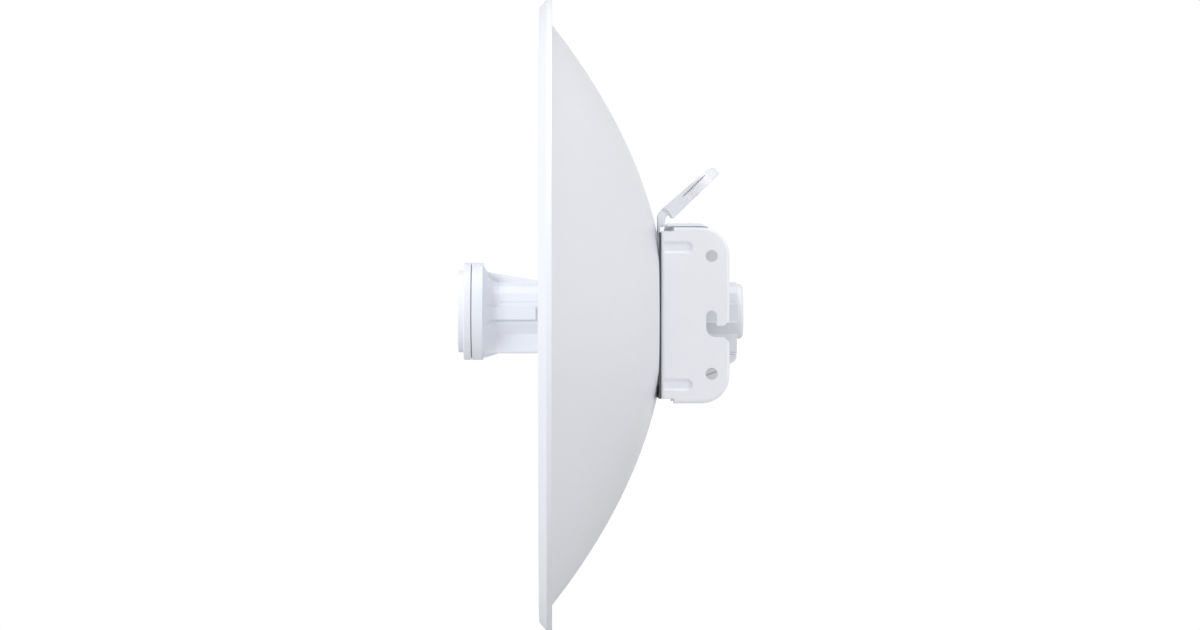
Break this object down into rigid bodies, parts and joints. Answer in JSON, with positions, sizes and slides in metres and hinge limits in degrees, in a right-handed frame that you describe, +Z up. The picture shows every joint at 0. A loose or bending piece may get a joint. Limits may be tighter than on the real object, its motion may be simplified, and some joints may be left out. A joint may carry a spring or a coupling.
{
  "type": "outdoor wireless bridge",
  "caption": "Pole-mount dish radio: pressed steel reflector with rolled rim, folded rear bracket with hook slots and lifting eye, and a pull-out tubular feed with a sliding port cover.",
  "frame": {"origin": "centre of the bracket's bolt holes, midway between the two side walls", "axes": "+X along the dish axis towards the rear, so the dish looks along -X; +Z up; +Y across"},
  "size_m": [0.2339, 0.52, 0.52],
  "materials": {
    "painted_dish": "fine-textured white powder coat",
    "painted_bracket": "smooth white powder coat",
    "zinc_fastener": "zinc plated",
    "socket_plastic": "moulded white plastic",
    "feed_plastic": "satin white UV-stable plastic",
    "seal_rubber": "soft silicone",
    "bare_aluminium": "mill finish",
    "circuit_board": "green solder mask",
    "coax_jacket": "black jacket",
    "tinned_steel": "tin plated",
    "thermal_pad": "soft pad",
    "black_plastic": "moulded",
    "clear_lens": "clear light pipe"
  },
  "bodies": {
    "dish_mount": {"dish_reflector": "painted_dish", "mount_bracket": "painted_bracket", "roof_rivets": "painted_bracket", "lifting_eye": "painted_bracket", "lower_spacers": "painted_bracket", "pad_gasket": "seal_rubber", "dish_bolts": "zinc_fastener", "dish_nuts": "zinc_fastener", "feed_socket": "socket_plastic", "socket_screws": "zinc_fastener"},
    "feed_unit": {"feed_body": "feed_plastic", "feed_cover": "feed_plastic", "cover_gasket": "seal_rubber", "stop_collar": "feed_plastic", "flange_cap": "feed_plastic", "seal_ring": "seal_rubber", "cap_screws": "zinc_fastener", "front_disc": "feed_plastic", "sub_reflector": "bare_aluminium", "antenna_board": "circuit_board", "coax_pigtails": "coax_jacket", "radio_board": "circuit_board", "board_screws": "zinc_fastener", "rf_shields": "tinned_steel", "thermal_pads": "thermal_pad", "heat_spreader": "bare_aluminium", "ethernet_jack": "tinned_steel", "reset_switch": "black_plastic", "rear_cap": "feed_plastic", "status_lights": "clear_lens"},
    "port_hood": {"port_cover": "feed_plastic"},
    "reset_key": {"reset_button": "black_plastic"}
  },
  "joints": [
    {"name": "feed_pull_out", "type": "slide", "parent": "dish_mount", "child": "feed_unit", "axis": [-1, 0, 0], "range_m": [0, 0.07]},
    {"name": "port_cover_slide", "type": "slide", "parent": "feed_unit", "child": "port_hood", "axis": [1, 0, 0], "range_m": [0, 0.03]},
    {"name": "reset_press", "type": "slide", "parent": "feed_unit", "child": "reset_key", "axis": [0, 0, 1], "range_m": [0, 0.0006], "stiffness_N_per_m": 800}
  ]
}
